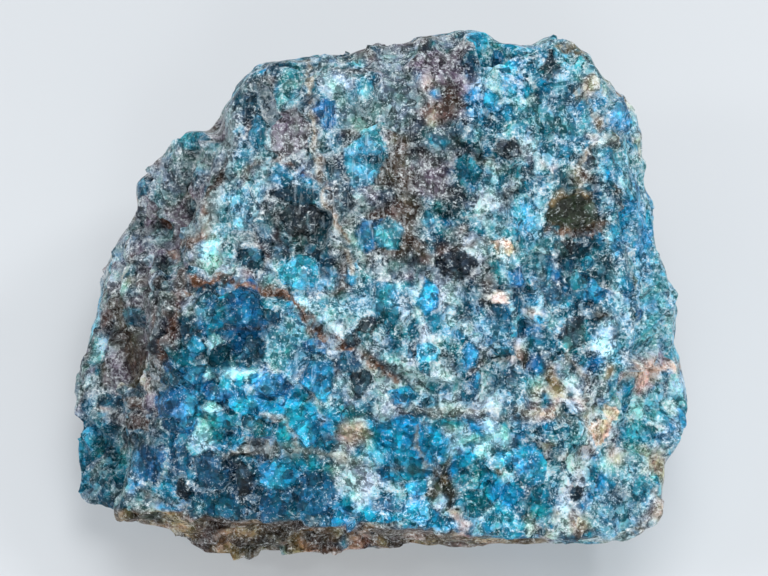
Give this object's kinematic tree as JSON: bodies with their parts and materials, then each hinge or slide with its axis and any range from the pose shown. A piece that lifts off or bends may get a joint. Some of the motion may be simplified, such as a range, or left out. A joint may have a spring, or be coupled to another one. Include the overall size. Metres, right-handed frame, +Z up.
{
  "type": "apatite specimen",
  "caption": "Rough lump of massive blue apatite, broken into flat faces, ledges, a rusty vein and coarse interlocking grains, lying on its flattest break.",
  "frame": {"origin": "middle of the bounding box's bottom, on the surface that the stone rests on", "axes": "+X across the large sloping break, -Y towards its lower front edge, +Z up"},
  "size_m": [0.0608, 0.0542, 0.0382],
  "materials": {
    "apatite": "rough crystalline, glassy on fresh crystal faces"
  },
  "bodies": {
    "root": {"apatite_stone": "apatite"}
  },
  "joints": []
}
